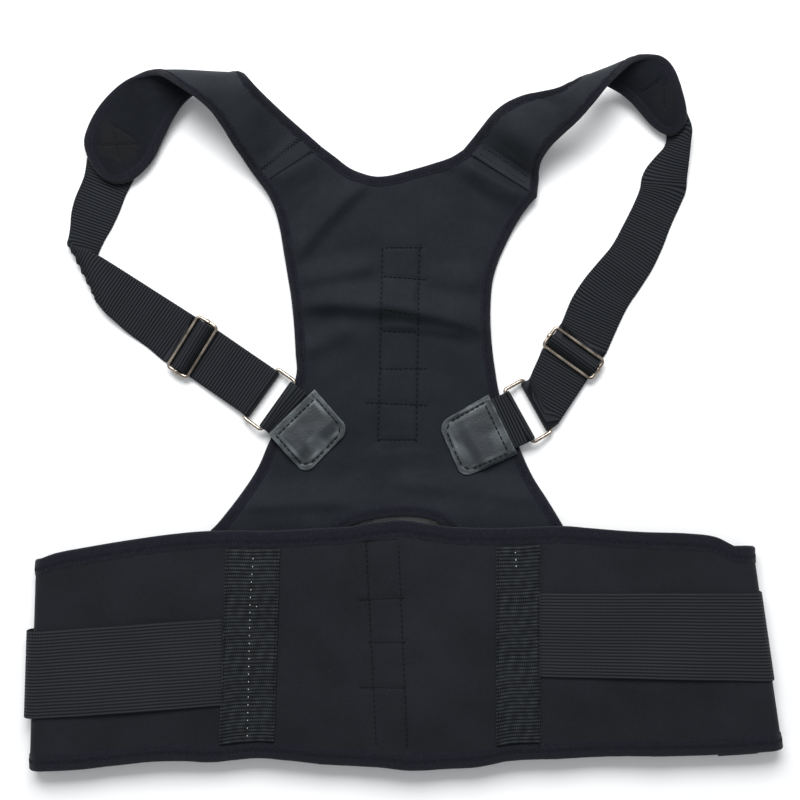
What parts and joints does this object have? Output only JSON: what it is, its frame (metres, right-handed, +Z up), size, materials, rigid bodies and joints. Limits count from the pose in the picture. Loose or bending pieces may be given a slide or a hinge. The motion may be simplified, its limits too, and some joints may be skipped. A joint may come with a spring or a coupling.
{
  "type": "posture corrector",
  "caption": "Back and shoulder posture brace lying flat: padded back panel, folded shoulder straps with adjustable webbing, sliders and rings, leather tabs and a wide waist belt.",
  "frame": {"origin": "on the table under the centre of the whole brace", "axes": "+Z up from the table, +X along the waist belt to the wearer's side that lies right in plan, +Y from the belt towards the shoulder straps"},
  "size_m": [0.5255, 0.495, 0.0354],
  "materials": {
    "padded_cloth": "charcoal knit over foam rubber, matte with a faint sheen",
    "edge_binding": "blue-black brushed binding with zigzag stitches, matte",
    "webbing": "black webbing ribbed across its width, slightly glossy threads",
    "elastic": "black elastic with fine lengthwise ribs, matte",
    "leather": "dark grey grained imitation leather with a soft sheen and pale worn edges",
    "metal": "nickel plated steel wire, warm and polished"
  },
  "bodies": {
    "root": {"back_panel": "padded_cloth", "panel_binding_left": "edge_binding", "panel_binding_right": "edge_binding", "neck_binding": "edge_binding", "arch_binding": "edge_binding", "shoulder_strap_left": "padded_cloth", "strap_binding_left": "edge_binding", "shoulder_strap_right": "padded_cloth", "strap_binding_right": "edge_binding", "slider_left": "metal", "ring_left": "metal", "slider_right": "metal", "ring_right": "metal", "webbing_left": "webbing", "webbing_right": "webbing", "tab_loop_left": "webbing", "leather_tab_left": "leather", "tab_loop_right": "webbing", "leather_tab_right": "leather", "waist_belt": "padded_cloth", "belt_binding_top": "edge_binding", "belt_binding_bottom": "edge_binding", "elastic_left": "elastic", "elastic_right": "elastic", "side_strip_left": "webbing", "side_strip_right": "webbing", "closure_pad": "webbing"}
  },
  "joints": []
}
